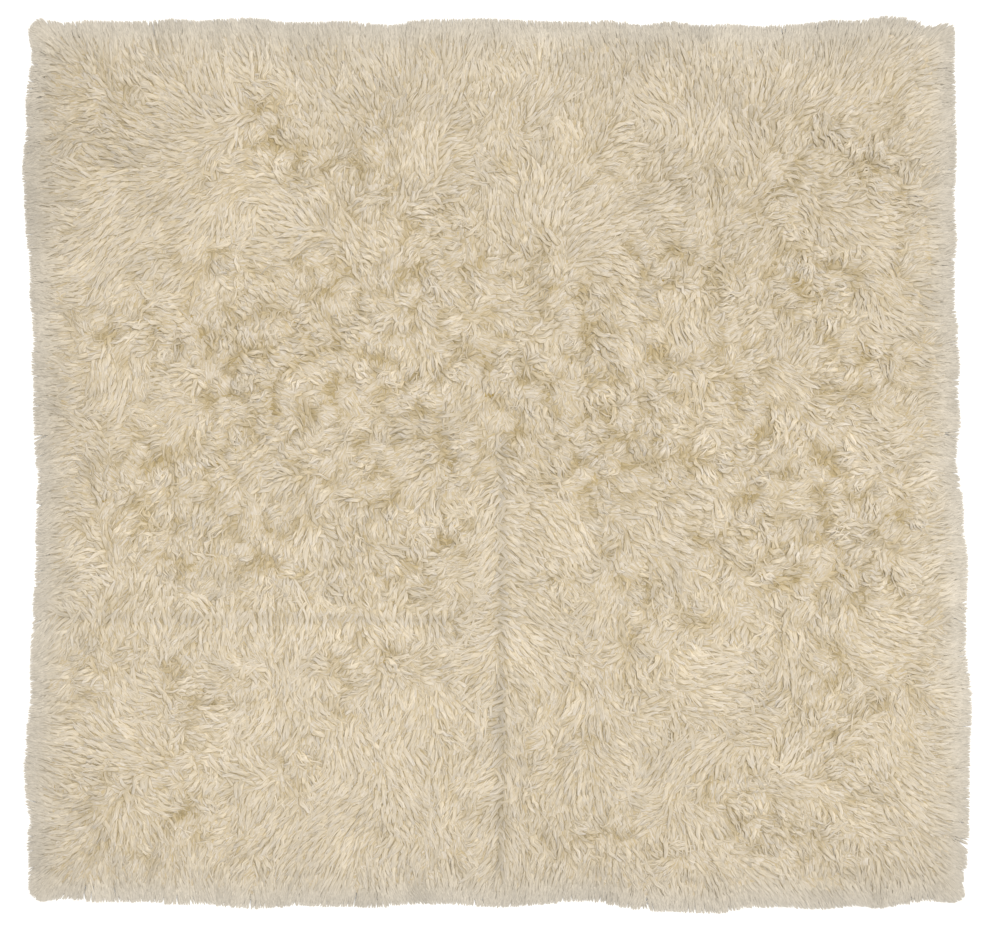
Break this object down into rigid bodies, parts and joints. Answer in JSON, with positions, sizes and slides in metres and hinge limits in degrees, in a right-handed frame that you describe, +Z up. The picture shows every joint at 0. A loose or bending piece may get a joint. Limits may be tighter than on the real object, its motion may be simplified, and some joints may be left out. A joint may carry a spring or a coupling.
{
  "type": "flokati rug",
  "caption": "Nearly square shaggy flokati rug of undyed ivory wool with a long tangled pile, lying flat, its sides slightly uneven and its rim locks combed outwards",
  "frame": {"origin": "on the floor below the middle of the rug", "axes": "+X across the width (right in the picture), +Y along the length (up in the picture), +Z up"},
  "size_m": [2, 1.89, 0.0482],
  "materials": {
    "ivory_wool_pile": "matte"
  },
  "bodies": {
    "root": {"flokati_rug": "ivory_wool_pile"}
  },
  "joints": []
}
